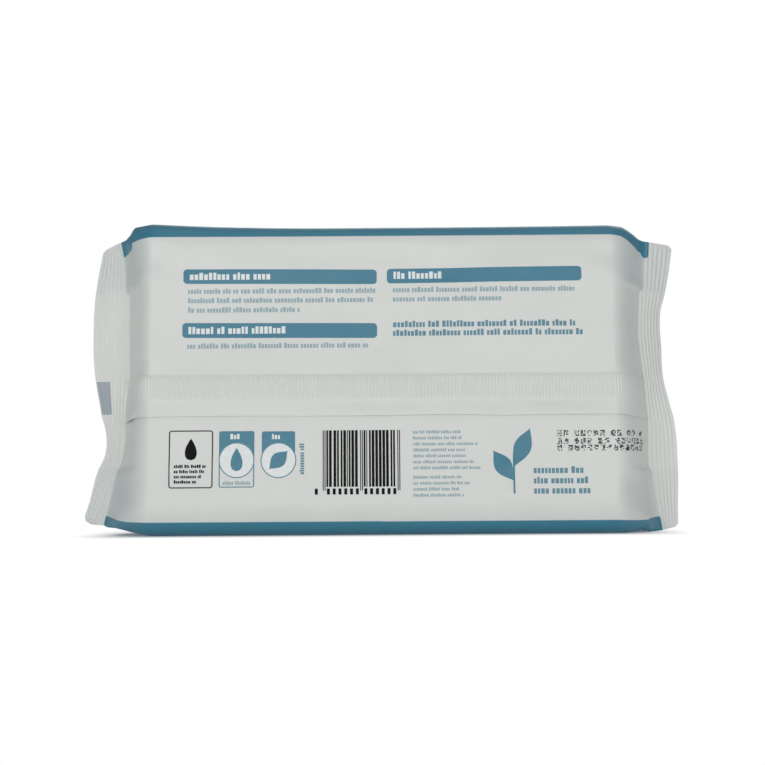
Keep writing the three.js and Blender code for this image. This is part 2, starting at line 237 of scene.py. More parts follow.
# Both ends. Top and foot give the edge's height at stations from 0, where the flat panel ends, over 1 at the
# seal's root to 2 at its cut edge. The inks give the heights at which teal begins.
# Pairs are for the top, then the foot: tucks are the depths of the folded gussets, hollows how far the slope
# is drawn in over them, steps how far the root steps out at them, corners the radii of the seal's corners,
# and ink_past how far the teal runs on into the seal.
# foot_veil is how much of the foot's gusset shows through the white film, against the top's.
LEFT = End(
    side=-1, tucks=(20.9, 23), hollows=(1.3, 1.0), steps=(1.1, 0.9), corners=(1.6, 3.2), ridges=8,
    ink_past=(0.0, 0.0), foot_veil=0.9,
    top=((0, 118.5), (0.38, 118.6), (0.6, 118.8), (0.65, 118.3), (0.73, 116.5), (0.88, 115.2), (1, 114.6),
         (2, 112.4)),
    foot=((0, 0), (0.06, 0), (0.32, 0.7), (0.56, 1.8), (0.77, 2.7), (0.94, 2.9), (1, 3.5), (2, 3.9)),
    top_ink=((0, 112.1), (0.66, 111.9), (0.69, 109.4), (0.95, 108.8), (1, 108.4)),
    foot_ink=((0, 5.3), (0.5, 5.4), (0.66, 5.8), (0.83, 6.6), (1, 7.2)),
    root=((4, 107.3), (10.2, 105.8), (15.3, 104.6), (23.1, 102.9), (27.5, 101.8), (31, 101.1), (36, 100.5),
          (44, 100.2), (51.3, 99.7), (58.3, 99), (76, 99.1), (94, 99.3), (108.5, 100.4), (114.4, 101.6)),
    cut=((4, 117), (7.6, 116.4), (12.3, 114.9), (18.8, 113.5), (24.9, 111.8), (29.7, 109.5), (33, 108.8),
         (38, 108.7), (42, 109.3), (45, 110.2), (50.7, 111.1), (58.2, 112.2), (64.6, 112.8), (80, 113.1),
         (92.4, 112.8), (102, 111.8), (112, 110.3)),
    lean=((4, 3), (36, 4), (75, -1), (114.5, 3)))
RIGHT = End(
    side=1, tucks=(20.5, 24.7), hollows=(1.3, 1.7), steps=(1.8, 1.0), corners=(1.5, 1.3), ridges=7,
    ink_past=(2.2, 0.5), foot_veil=0.4,
    top=((0, 117), (0.21, 116.9), (0.41, 117), (0.56, 116.1), (0.7, 115.1), (0.83, 114.3), (1, 113.5),
         (2, 112.4)),
    foot=((0, 0), (0.3, 0), (0.62, 0.8), (0.68, 0.7), (0.74, 0), (1, 0.2), (2, 1.4)),
    top_ink=((0, 112.1), (0.31, 111.8), (0.48, 110.9), (0.64, 109.8), (0.79, 108.7), (0.92, 108.6),
             (1, 106.9)),
    foot_ink=((0, 5.2), (0.5, 4.8), (0.72, 4.8), (0.75, 5.2), (1, 5.6)),
    root=((0.3, 106.7), (4.8, 106), (9.5, 105.2), (17.3, 104.1), (25, 103.2), (43.4, 103.2), (47.1, 102.8),
          (57.7, 102.2), (62.8, 101.7), (69.1, 101), (72.7, 100.6), (93, 101), (107, 101.3), (113.2, 101.6)),
    cut=((0.3, 114.9), (10.8, 114.9), (19.4, 115.1), (27.7, 114.9), (37.4, 114.5), (44.7, 113.6),
         (48.2, 112.8), (52.7, 111.9), (57.9, 110.9), (65, 110.5), (71.3, 110.7), (82, 110.5),
         (87.5, 111), (90.5, 111.9), (99.6, 113.8), (112, 115.5)),
    lean=((0.3, 3), (40, 1), (80, 6), (114, 3.4)))


def relief(x, z, cell_x, cell_z, seed, cells=64):
    """Soft seeded unevenness from -1 to 1, with bumps of about the given cell."""
    table = np.random.RandomState(seed).uniform(-1, 1, (cells, cells))
    u = np.asarray(x) / cell_x + cells // 2
    v = np.asarray(z) / cell_z + cells // 2
    i = np.floor(u).astype(int)
    j = np.floor(v).astype(int)
    s = smooth(u - i)
    t = smooth(v - j)

    def row(up):
        return table[i % cells, up % cells] * (1 - s) + table[(i + 1) % cells, up % cells] * s

    return row(j) * (1 - t) + row(j + 1) * t


def uneven(x, z, layers):
    """Layers of unevenness, each with its height, cell and seed."""
    return sum(height * relief(x, z, *cell) for height, *cell in layers)


def slope_run(share):
    """How far along its run an end slope has come, at a share of its turn."""
    return 2 * SHOULDER_SHARE * share + (1 - 2 * SHOULDER_SHARE) * share**2


def slope_share(run):
    """The share of the turn at a run: the inverse of slope_run."""
    bend = 1 - 2 * SHOULDER_SHARE
    return (-SHOULDER_SHARE + np.sqrt(SHOULDER_SHARE**2 + bend * np.clip(run, 0, 1))) / bend


def back_depth(film, z):
    """How far the back panel lies from the seal plane, at a height."""
    top = film.back_top_depth / MM
    return BACK_DEPTH_FOOT + (top - BACK_DEPTH_FOOT) * np.asarray(z) / BODY_HEIGHT


def panel_relief(x, z):
    """Dents and slack of the back panel, inwards positive, fading out at its long edges."""
    over_foot = smooth((z - FOOT_FADE[0]) / FOOT_FADE[1])
    under_top = smooth((BODY_HEIGHT - TOP_FADE[0] - z) / TOP_FADE[1])
    depth, out, half_width, up, half_height = CORNER_DENT
    corner_dents = depth * np.exp(-(((np.abs(x) - out) / half_width) ** 2) - ((z - up) / half_height) ** 2)
    return over_foot * under_top * (PANEL_HOLLOW + uneven(x, z, PANEL_SLACK) + corner_dents)


def slope_relief(end, x, z, share):
    """How a slope is drawn in: hollows over the tucked gussets, and creases that fan out from the root."""
    drawn = uneven(x, z, SLOPE_CREASES) + end.tucked(z, HOLLOW_BLEND, *end.hollows)
    drawn = drawn * smooth(share / 0.5) * smooth((1 - share) / 0.15)
    dent = TUCK_DENT * end.tucked(z, TUCK_BLEND)
    return drawn + dent * smooth((share - 0.7) / 0.2) * smooth((1 - share) / 0.04)


def seal_shift(film, end, z, past):
    """How far a seal's film stands off the seal plane: its lean, and ridges that run along it."""
    width = end.cut(z) - end.root(z)
    along = (end.root(z) + past - end.plain_root(z)) / (end.cut(z) - end.plain_root(z))
    ridge = film.seal_crimp / MM * np.sin(2 * math.pi * end.ridges * along)
    return end.lean(z) * np.clip(past / width, 0, 1) ** 1.3 + ridge * smooth(past / 1.2)


def back_point(film, x, z, lift=0.0):
    """A point of the back panel, its end slopes or the seals, at a place seen from behind."""
    flat = film.flat_half / MM
    x, z = np.broadcast_arrays(np.asarray(x, float), np.asarray(z, float))
    y = np.zeros(x.shape)
    for end in (LEFT, RIGHT):
        root = end.root(z)
        share = slope_share((np.abs(x) - flat) / (root - flat))
        past = np.maximum(np.abs(x) - root, 0)
        thin = 1 - share**2
        half = FILM_HALF * (1 - np.clip(past / (end.cut(z) - root), 0, 1))
        depth = half + (back_depth(film, z) - FILM_HALF) * thin
        shift = panel_relief(x, z) * thin + slope_relief(end, x, z, share) + seal_shift(film, end, z, past)
        y = np.where(x * end.side >= 0, shift - depth, y)
    return np.stack([x, y - lift, z], axis=-1)


# Steps round the film's section, from the middle of the foot round the front, and along the pack
SECTION_STEPS = (("foot", 16), ("front_foot", 12), ("front", 84), ("front_top", 12),
                 ("top", 16), ("back_top", 12), ("back", 84), ("back_foot", 12))
SEAL_STEPS = 64
SLOPE_STEPS = 44
FLAT_STEPS = 120


def film_columns(film):
    """For each step along the pack: its end, place on the flat, share of the slope and of the seal."""
    flat = film.flat_half / MM
    falling, rising = (np.linspace(*ends, SLOPE_STEPS, endpoint=False) for ends in ((1, 0), (0, 1)))
    columns = [(LEFT, -flat, 1, w) for w in np.linspace(1, 0, SEAL_STEPS, endpoint=False)]
    columns += [(LEFT, -flat, math.sin(t * math.pi / 2), 0) for t in falling]
    columns += [(LEFT if x < 0 else RIGHT, x, 0, 0)
                for x in np.linspace(-flat, flat, FLAT_STEPS, endpoint=False)]
    columns += [(RIGHT, flat, math.sin(t * math.pi / 2), 0) for t in rising]
    return columns + [(RIGHT, flat, 1, w) for w in np.linspace(0, 1, SEAL_STEPS + 1)]


def section_sides(film, end, share, seal, foot_z, top_z):
    """One ring of the film without its relief: the zone, depth and height of each point."""
    thin = 1 - share**2
    half = FILM_HALF * (1 - seal)
    rounds = {"front_foot": film.front_foot_round, "back_foot": film.back_foot_round,
              "front_top": film.top_round, "back_top": film.top_round}
    rounds = {zone: r / MM * thin for zone, r in rounds.items()}
    rows = [(zone, i / steps) for zone, steps in SECTION_STEPS for i in range(steps)]
    zones, parts = (np.array(column) for column in zip(*rows))
    y, z = np.zeros((2, len(rows)))

    def depth_at(heights, front):
        full = FRONT_DEPTH if front else back_depth(film, heights)
        return half + (full - FILM_HALF) * thin

    for zone in set(zones):
        here = zones == zone
        part = parts[here]
        front = zone.startswith("front")
        sign = 1 if front else -1
        up = -1 if zone.endswith("top") else 1
        base = top_z if zone.endswith("top") else foot_z
        if zone in ("foot", "top"):
            tuck = (end.foot_tuck if zone == "foot" else end.top_tuck) * share
            inwards = 1 - np.abs(2 * part - 1)
            heights = base + up * tuck * inwards
            front_reach = depth_at(base, True) - rounds["front_" + zone]
            back_reach = depth_at(base, False) - rounds["back_" + zone]
            start, stop = (-back_reach, front_reach) if zone == "foot" else (front_reach, -back_reach)
            y[here] = start + (stop - start) * part
        elif zone in rounds:
            r = rounds[zone]
            turn = part if zone in ("front_foot", "back_top") else 1 - part
            heights = base + up * r * (1 - np.cos(turn * math.pi / 2))
            y[here] = sign * (depth_at(heights, front) - r * (1 - np.sin(turn * math.pi / 2)))
        else:
            low = foot_z + rounds[zone + "_foot"]
            high = top_z - rounds[zone + "_top"]
            heights = low + (high - low) * (part if front else 1 - part)
            y[here] = sign * depth_at(heights, front)
        z[here] = heights
    return zones, y, z


def section_points(film, end, x_flat, share, seal):
    """One ring of the film: its points, how far each is inside the teal, and how much shows through."""
    thin = 1 - share**2
    flat = film.flat_half / MM
    top_z = np.interp(share + seal, *end.top)
    if share == 0:
        rise = max(abs(x_flat) / flat - TOP_LEVEL, 0) ** 2 / TOP_RISE
        top_z = BODY_HEIGHT - TOP_SINK + (top_z - BODY_HEIGHT + TOP_SINK) * rise
    foot_z = np.interp(share + seal, *end.foot)
    zones, y, z = section_sides(film, end, share, seal, foot_z, top_z)
    upper = z > BODY_HEIGHT / 2
    root = end.root(z)
    cut = end.cut(z) - corner_cut(top_z - z, end.top_corner) - corner_cut(z - foot_z, end.foot_corner)
    x = np.where(share > 0, end.side * (flat + (root - flat) * slope_run(share)), x_flat)
    teal = np.maximum(z - np.interp(share, *end.top_ink), np.interp(share, *end.foot_ink) - z)
    teal[(zones == "foot") | (zones == "top")] = ALL_TEAL
    shown = np.where(upper, 1, end.foot_veil) * (1 - SEAL_VEIL_LOSS * smooth(seal / 0.06))
    veil = shown * end.tucked(z, VEIL_BLEND) * smooth((share - 0.1) / 0.6)
    if seal > 0:
        past = (cut - root) * seal
        x = end.side * (root + past)
        y = y + seal_shift(film, end, z, past)
        teal = np.minimum(teal, np.where(upper, end.top_ink_past, end.foot_ink_past) - past)
    dent = panel_relief(x, z) * thin + slope_relief(end, x, z, share)
    swell = uneven(x, z, FRONT_SWELL) * thin * smooth((np.abs(x) - LID_CLEAR[0]) / LID_CLEAR[1])
    front_dent = slope_relief(end, x + FRONT_OFFSET, z, share) + np.abs(swell)
    y = y + np.where(np.char.startswith(zones, "back"), dent, 0)
    y = y - np.where(np.char.startswith(zones, "front"), front_dent, 0)
    return np.stack([x, y, z], axis=-1), teal, veil


def corner_cut(from_end, radius):
    """How far a seal's rounded corner draws its cut edge in, at a distance from the seal's end."""
    return radius - np.sqrt(radius**2 - (radius - np.clip(from_end, 0, radius)) ** 2)


# Meshes and materials


def new_piece(name, bm, material, body="pack", smooth_angle=40):
    """A finished piece at the origin, with its place in its mesh, that rides on a body."""
    mesh = bpy.data.meshes.new(name)
    bm.to_mesh(mesh)
    bm.free()
    piece = bpy.data.objects.new(name, mesh)
    bpy.context.scene.collection.objects.link(piece)
    mesh.materials.append(material)
    mesh.shade_smooth()
    mesh.set_sharp_from_angle(angle=math.radians(smooth_angle))
    if body:
        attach(piece, body)
    return piece


def node(tree, kind, settings=None, links=None):
    """Adds a node. Settings name its properties or inputs; links give an input's source socket."""
    added = tree.nodes.new(kind)
    for name, value in (settings or {}).items():
        if isinstance(name, int) or name in added.inputs:
            added.inputs[name].default_value = value
        else:
            setattr(added, name, value)
    for name, source in (links or {}).items():
        tree.links.new(source, added.inputs[name])
    return added


def new_material(name, settings):
    """A node material with settings of its surface shader, its node tree and that shader."""
    material = bpy.data.materials.new(name)
    material.use_nodes = True
    tree = material.node_tree
    surface = tree.nodes["Principled BSDF"]
    for place, value in settings.items():
        surface.inputs[place].default_value = value
    return material, tree, surface


def noise(tree, cell, detail=2.0):
    """Cloudy noise over a piece, with cells of a size in millimetres."""
    place = node(tree, "ShaderNodeTexCoord").outputs["Object"]
    settings = {"Scale": 1 / (cell * MM), "Detail": detail}
    return node(tree, "ShaderNodeTexNoise", settings, {"Vector": place}).outputs["Fac"]


def spread(tree, value, low, high, to_low=0.0, to_high=1.0):
    """A value's range from low to high, spread over another range."""
    settings = {"From Min": low, "From Max": high, "To Min": to_low, "To Max": to_high}
    return node(tree, "ShaderNodeMapRange", settings, {"Value": value}).outputs["Result"]


def colour_mix(tree, first, second, factor, blend="MIX"):
    """Two colours mixed by a factor. Each of the three is a value or a socket."""
    mix = node(tree, "ShaderNodeMix", {"data_type": "RGBA", "blend_type": blend})
    for place, value in ((0, factor), (6, first), (7, second)):
        if isinstance(value, bpy.types.NodeSocket):
            tree.links.new(value, mix.inputs[place])
        else:
            mix.inputs[place].default_value = value
    return mix.outputs[2]


def bump(tree, surface, height, strength, distance):
    """Fine relief in a surface's shading, with its distance in millimetres."""
    settings = {"Strength": strength, "Distance": distance * MM}
    normal = node(tree, "ShaderNodeBump", settings, {"Height": height}).outputs["Normal"]
    tree.links.new(normal, surface.inputs["Normal"])


def rgba(linear_colour):
    return (*linear_colour[:3], 1)


def register_mark(tree, seal):
    """1 in a field of the left seal, between two heights and two shares of the seal's width, 0 elsewhere."""
    place = node(tree, "ShaderNodeTexCoord").outputs["Object"]
    x, _, z = node(tree, "ShaderNodeSeparateXYZ", {}, {"Vector": place}).outputs
    (foot, top), (near, far) = MARK_HEIGHTS, MARK_SHARES
    tests = ((z, "GREATER_THAN", foot * MM), (z, "LESS_THAN", top * MM), (x, "LESS_THAN", 0.0),
             (seal, "GREATER_THAN", near), (seal, "LESS_THAN", far))
    mark = None
    for value, operation, limit in tests:
        test = node(tree, "ShaderNodeMath", {"operation": operation, 1: limit}, {0: value}).outputs[0]
        mark = test if mark is None else node(
            tree, "ShaderNodeMath", {"operation": "MULTIPLY"}, {0: mark, 1: test}).outputs[0]
    return mark


def polyethylene_film(film):
    """Printed polyethylene film: satin, a little uneven, white with teal gusset sides."""
    material, tree, surface = new_material("printed polyethylene film", {"IOR": 1.5})
    teal, seal, veil = (node(tree, "ShaderNodeAttribute", {"attribute_name": name}).outputs["Fac"]
                        for name in ("teal", "seal", "veil"))
    # Cloudy shade of the white ink and cloudy gloss, in patches of about 14 mm
    cloud = noise(tree, 14, detail=3.0)
    veiled = colour_mix(tree, rgba(film.white), rgba(film.veil), veil)
    white = colour_mix(tree, veiled, spread(tree, cloud, 0.3, 0.7, 0.965, 1.0), 1.0, "MULTIPLY")
    printed = colour_mix(tree, white, rgba(film.teal), spread(tree, teal, -0.12, 0.12))
    marked = colour_mix(tree, printed, rgba(film.mark), register_mark(tree, seal))
    tree.links.new(marked, surface.inputs["Base Color"])
    tree.links.new(spread(tree, cloud, 0.35, 0.65, 0.36, 0.46), surface.inputs["Roughness"])
    # Fine puckers of thin film, from about 3 mm down to 0.8 mm across
    bump(tree, surface, noise(tree, 3.2), 0.16, 0.25)
    return material


def flexo_ink(name, linear_colour, sheen):
    """Flexographic ink on film: one colour with a faint unevenness of its screen."""
    settings = {"Roughness": 0.42, "IOR": 1.5, "Specular IOR Level": sheen}
    material, tree, surface = new_material(name, settings)
    shade = spread(tree, noise(tree, 0.9), 0.3, 0.7, 0.93, 1.03)
    ink = colour_mix(tree, rgba(linear_colour), shade, 1.0, "MULTIPLY")
    tree.links.new(ink, surface.inputs["Base Color"])
    return material


def polypropylene(name, linear_colour, roughness):
    """Polypropylene of the lid and its label: satin, finely textured, letting a little light in."""
    settings = {"Base Color": rgba(linear_colour), "IOR": 1.49, "Subsurface Weight": 0.12,
                "Subsurface Radius": (1.2 * MM, 1.2 * MM, 1.2 * MM), "Subsurface Scale": 1.0}
    material, tree, surface = new_material(name, settings)
    bump(tree, surface, noise(tree, 0.5), 0.12, 0.05)
    gloss = spread(tree, noise(tree, 25), 0.3, 0.7, roughness - 0.04, roughness + 0.05)
    tree.links.new(gloss, surface.inputs["Roughness"])
    return material


def mapped_grid(bm, places):
    """Lays a grid of faces over points in millimetres. Gives each vertex with its column and row."""
    columns, rows = places.shape[0] - 1, places.shape[1] - 1
    made = bmesh.ops.create_grid(bm, x_segments=columns, y_segments=rows, size=1)["verts"]
    laid = []
    for vert in made:
        column = round((vert.co.x + 1) / 2 * columns)
        row = round((vert.co.y + 1) / 2 * rows)
        vert.co = Vector(places[column, row]) * MM
        laid.append((vert, column, row))
    return laid


def outwards(bm):
    """Turns the faces of a closed mesh outwards, and those of a sheet to one side."""
    bmesh.ops.recalc_face_normals(bm, faces=bm.faces[:])


def weld(bm, distance):
    """Joins points that lie within a distance in metres of each other."""
    bmesh.ops.remove_doubles(bm, verts=bm.verts[:], dist=distance)
    bmesh.ops.dissolve_degenerate(bm, dist=distance, edges=bm.edges[:])


def face_backwards(bm):
    """Turns a sheet's faces to the back of the pack."""
    outwards(bm)
    away = [face for face in bm.faces if face.normal.y > 0]
    bmesh.ops.reverse_faces(bm, faces=away)


class WIPES_OT_film(bpy.types.Operator):
    """Shapes the film bag: a tube of film, flattened and crimped at both ends, with its gussets tucked in"""

    bl_idname = "wipes_pack.film"
    bl_label = "Film bag"

    def execute(self, context):
        film = context.scene.wipes_film
        columns = film_columns(film)
        rings = [section_points(film, *column) for column in columns]
        places = np.stack([np.concatenate([points, points[:1]]) for points, inked, veiled in rings])
        bm = bmesh.new()
        teal, seal, veil = (bm.verts.layers.float.new(name) for name in ("teal", "seal", "veil"))
        for vert, column, row in mapped_grid(bm, places):
            points, inked, veiled = rings[column]
            vert[teal] = inked[row % len(inked)]
            vert[veil] = veiled[row % len(inked)]
            vert[seal] = columns[column][3]
        weld(bm, 1e-7)
        outwards(bm)
        bag = new_piece("film_bag", bm, polyethylene_film(film), smooth_angle=70)
        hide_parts("film_pack")
        return {"FINISHED"}


class WIPES_OT_seam(bpy.types.Operator):
    """Lays the crimped back seam, folded down flat over the back panel and its end slopes"""

    bl_idname = "wipes_pack.seam"
    bl_label = "Back seam"

    # Lengths in millimetres
    across_steps, steps_per_rib, fine_steps = 22, 6, 4000
    reach = 5  # how far the seam runs past the seals' roots
    sink, sink_length = 0.15, 6  # how far both ends dip into the film, and over what length
    steepest = 1.8  # limit of the extra lift on the slopes
    thickness = 0.22
    # The loose edge: how far it falls, from where, over what length; how high it curls, where, half as long
    left_fall, right_fall = (0.9, 93, 4), (1.0, 86, 14)
    left_curl = (1.2, 96, 2.2)

    def execute(self, context):
        film = context.scene.wipes_film
        fold, crimp_foot, free = (v / MM for v in (film.seam_fold, film.seam_crimp_foot, film.seam_free_edge))
        pitch = film.seam_pitch / MM
        middle = (fold + free) / 2
        start, stop = -LEFT.root(middle) - self.reach, RIGHT.root(middle) + self.reach
        fine = np.linspace(start, stop, self.fine_steps)
        line = back_point(film, fine, middle)
        walked = np.concatenate([[0], np.cumsum(np.linalg.norm(np.diff(line, axis=0), axis=1))])
        count = round(walked[-1] / pitch * self.steps_per_rib)
        along = np.linspace(0, walked[-1], count + 1)
        xs = np.interp(along, walked, fine)
        heights = np.linspace(fold, free, self.across_steps + 1)
        x_grid, z_grid = np.meshgrid(xs, heights, indexing="ij")
        s_grid = np.meshgrid(along, heights, indexing="ij")[0]
        ground = back_point(film, x_grid, z_grid)
        slope = np.gradient(ground[..., 1], axis=0) / np.maximum(np.gradient(x_grid, axis=0), 1e-6)
        lift = self.lift(s_grid, x_grid, z_grid, fold, crimp_foot, free, pitch)
        from_end = np.minimum(s_grid, walked[-1] - s_grid)
        lift = (lift + self.sink) * smooth(from_end / self.sink_length) - self.sink
        places = ground.copy()
        places[..., 1] -= lift * np.minimum(np.hypot(1, slope), self.steepest)
        fall = uneven(x_grid, x_grid * 0, SEAM_EDGE_WAVE)
        falls = [far * smooth((side * x_grid - begin) / span)
                 for side, (far, begin, span) in ((-1, self.left_fall), (1, self.right_fall))]
        fall -= falls[0] + falls[1]
        places[..., 2] += fall * smooth((crimp_foot - z_grid) / 5)
        bm = bmesh.new()
        teal = bm.verts.layers.float.new("teal")
        for vert, column, row in mapped_grid(bm, places):
            vert[teal] = -1
        face_backwards(bm)
        bmesh.ops.solidify(bm, geom=bm.faces[:], thickness=self.thickness * MM)
        seam = new_piece("back_seam", bm, polyethylene_film(film), smooth_angle=70)
        seam.data.materials[0].name = "crimped polyethylene film"
        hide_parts("film_pack")
        return {"FINISHED"}

    def lift(self, along, x, z, fold, crimp_foot, free, pitch):
        """How far the seam stands over the panel: ribs in its crimped band, and a plain margin that curls."""
        crimped = smooth((fold - z) / 0.8) * smooth((z - crimp_foot) / 0.8)
        ribs = (0.5 + 0.5 * np.cos(2 * math.pi * along / pitch)) * (1 - 0.65 * smooth((np.abs(x) - 84) / 8))
        margin = smooth((crimp_foot - z) / (crimp_foot - free))
        high, out, half = self.left_curl
        curl = 0.22 + 0.2 * relief(x, z * 0, 34, 10, 17) + high * np.exp(-(((x + out) / half) ** 2))
        return 0.18 + 0.3 * smooth((fold - z) / 1.5) + 0.3 * crimped * ribs + curl * margin


# Print on the back panel, in millimetres: along the pack, then height

BAR_CORNER = 1.4
# Teal title bars: left, right, foot and top, with how far the bar's right end stands higher
TITLE_BARS = ((-74.4, -1.9, 94.2, 99.7, -0.5), (-74.7, -1.9, 73.8, 79.4, -0.5), (1.9, 74.8, 93.9, 99.4, 0.5))

# Lines of print, as plain blocks: left, right, height of the line's foot, height of a block, ink
PRINT_LINES = (
    (-72.0, -40.5, 95.6, 2.1, "pale"), (-72.4, -35.2, 75.2, 2.1, "pale"), (4.4, 23.4, 95.6, 2.1, "pale"),
    (-72.6, -2.4, 90.4, 1.5, "small"), (-72.6, -2.4, 86.9, 1.5, "small"), (-72.6, -29.8, 83.3, 1.5, "small"),
    (-72.8, -4.3, 69.7, 1.5, "small"), (4.1, 73.1, 90.5, 1.5, "small"), (4.1, 44.8, 87.0, 1.5, "small"),
    (4.1, 72.0, 77.3, 1.8, "strong"), (4.1, 75.0, 74.0, 1.8, "strong"),
    (55.4, 74.6, 22.5, 1.9, "strong"), (55.4, 76.4, 18.7, 1.9, "strong"), (55.4, 77.0, 15.0, 1.9, "strong"),
)
SMALL_COLUMN = (11.1, 36.6, 0.9)  # left, right and block height of the column of smallest print
SMALL_HEIGHTS = (37.4, 35.2, 33.0, 30.8, 28.6, 26.4, 24.2, 20.8, 18.6, 16.4, 14.2)
SMALL_RAGGED = 9  # the most by which a line of the smallest print ends early
FRAME_BOX = (-79.0, -62.7, 17.8, 39.1)
FRAME_CORNER, FRAME_LINE = 1.0, 0.4
SIGN_CORNER, SIGN_LINE = 0.8, 0.35
RING_PAST = 0.05  # how far a sign's ring lies outside its field
SIGN_FIELDS = ((-60.4, -47.5, 18.0, 38.7), (-44.7, -32.4, 17.9, 38.6))
SIGN_DISC_HEIGHT, SIGN_DISC = 10.0, 6.6  # of a sign's disc: its middle over the sign's foot, and its radius
STRIPES = (-22.2, 6.3, 18.0, 38.8)
STRIPE_MODULE = 0.33
STRIPE_GUARD = 3 * STRIPE_MODULE  # two stripes and their gap, at each end and in the middle
GUARD_FOOT = 16.6
STRIPE_BLOCKS = (15.2, 1.1, 2.2)  # foot, width and height of the blocks under the stripes
BLOCKS_A_HALF = 6
LONE_BLOCK = 2.4  # of the block before the stripes: its middle from their left end
UPRIGHT_LINE = (22.7, 34.8, -29.1, 1.3)  # foot, top, right side and block height of the upright line
SATIN_SHEEN, BLACK_SHEEN = 0.5, 0.08  # the black ink is nearly matt
INK_THICKNESS = 0.1
SPRIG = (48.2, 15.1, 24.0)  # middle, foot and height of the two-leaf sprig
DOT_ROWS = (36.1, 33.2, 30.7)
DOT_LEFT, DOT_RIGHT = 64.4, 98.5
DOT_PITCH = 0.44
DOT_SIZE = 0.85 * DOT_PITCH
DOT_COLUMNS, DOT_TALL, DOT_CHANCE = 4, 5, 0.55  # of a group: dots across, dots upwards, chance of each
GROUP_STEP, GAP_STEP = 5.4 * DOT_PITCH, 9 * DOT_PITCH  # to the next group, without or with a gap
GROUP_CHANCE = 0.8


class PrintSheet:
    """Fields of one ink that lie on the back panel."""

    def __init__(self, film, lift):
        self.film = film
        self.lift = lift
        self.bm = bmesh.new()

    def field(self, us, vs, place):
        """A field whose grid of (u, v) is placed on the panel."""
        u, v = np.meshgrid(us, vs, indexing="ij")
        mapped_grid(self.bm, back_point(self.film, *place(u, v), lift=self.lift))

    def box(self, left, right, foot, top, rise=0.0):
        """A plain rectangle, whose right end may stand higher."""
        across = np.linspace(left, right, 2 + int((right - left) / 2.5))
        up = np.linspace(foot, top, 2 + int((top - foot) / 2))
        self.field(across, up, lambda x, z: (x, z + rise * (x - left) / (right - left)))

    def rounded(self, left, right, foot, top, radius, rise=0.0):
        """A rectangle with rounded corners; with the largest radius it is a disc."""
        def ticks(low, high):
            middle = np.linspace(low + radius, high - radius, 2 + int((high - low - 2 * radius) / 2))
            bend = radius * np.linspace(0, 1, 6)
            return np.unique(np.round(np.concatenate([low + bend, middle, high - bend]), 5))

        def place(x, z):
            near_x = np.clip(x, left + radius, right - radius)
            near_z = np.clip(z, foot + radius, top - radius)
            u, v = x - near_x, z - near_z
            reach = np.maximum(np.hypot(u, v), 1e-9)
            share = np.maximum(np.abs(u), np.abs(v)) / reach
            return near_x + u * share, near_z + v * share + rise * (x - left) / (right - left)

        self.field(ticks(left, right), ticks(foot, top), place)

    def ring(self, left, right, foot, top, radius, line):
        """The line of a frame with rounded corners."""
        half = np.array([right - left, top - foot]) / 2
        turns = np.concatenate([np.linspace(q, q + 1, 7) for q in range(4)] + [[0]]) * math.pi / 2
        corners = np.repeat([[1, 1], [-1, 1], [-1, -1], [1, -1]], 7, axis=0) * (half - radius)
        corners = np.concatenate([corners, corners[:1]])
        heading = np.stack([np.cos(turns), np.sin(turns)], -1)
        strides = np.linalg.norm(np.diff(corners + radius * heading, axis=0), axis=1)
        walked = np.concatenate([[0], np.cumsum(strides)])

        def place(u, v):
            reach = radius - v * line
            x, z = (np.interp(u, walked, corners[:, i]) + reach * np.interp(u, walked, heading[:, i])
                    for i in (0, 1))
            return (left + right) / 2 + x, (foot + top) / 2 + z

        self.field(np.union1d(walked, np.linspace(0, walked[-1], 50)), np.array([0, 1]), place)

    def leaf(self, foot, tip, width, round_foot=False):
        """A leaf from foot to tip, or a drop, which has a round foot."""
        foot, tip = np.array(foot), np.array(tip)
        along = tip - foot
        across = np.array([along[1], -along[0]]) / np.hypot(*along)

        def place(u, v):
            spread = np.sqrt(np.clip(u, 0, 1)) * (1 - u) * 1.9 if round_foot else np.sin(np.pi * u) ** 1.2
            side = v * width / 2 * spread
            return foot[0] + along[0] * u + across[0] * side, foot[1] + along[1] * u + across[1] * side

        self.field(np.linspace(0, 1, 25), np.linspace(-1, 1, 7), place)

    def blocks(self, start, end, foot, height, rng, upwards=False):
        """A line of print, as words of plain blocks, along the pack or upwards."""
        along = start
        while along < end - height:
            for _ in range(rng.randint(2, 9)):
                width = height * rng.uniform(0.42, 0.7)
                if along + width > end:
                    break
                tall = height * (1.3 if rng.random() < 0.25 else 1)
                if upwards:
                    self.box(foot - tall, foot, along, along + width)
                else:
                    self.box(along, along + width, foot, foot + tall)
                along += width + 0.2 * height
            along += 0.5 * height

    def piece(self, name, material):
        """The finished sheet, with a thickness."""
        weld(self.bm, 1e-6)
        face_backwards(self.bm)
        bmesh.ops.solidify(self.bm, geom=self.bm.faces[:], thickness=INK_THICKNESS * MM)
        made = new_piece(name, self.bm, material)
        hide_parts("film_pack")
        return made


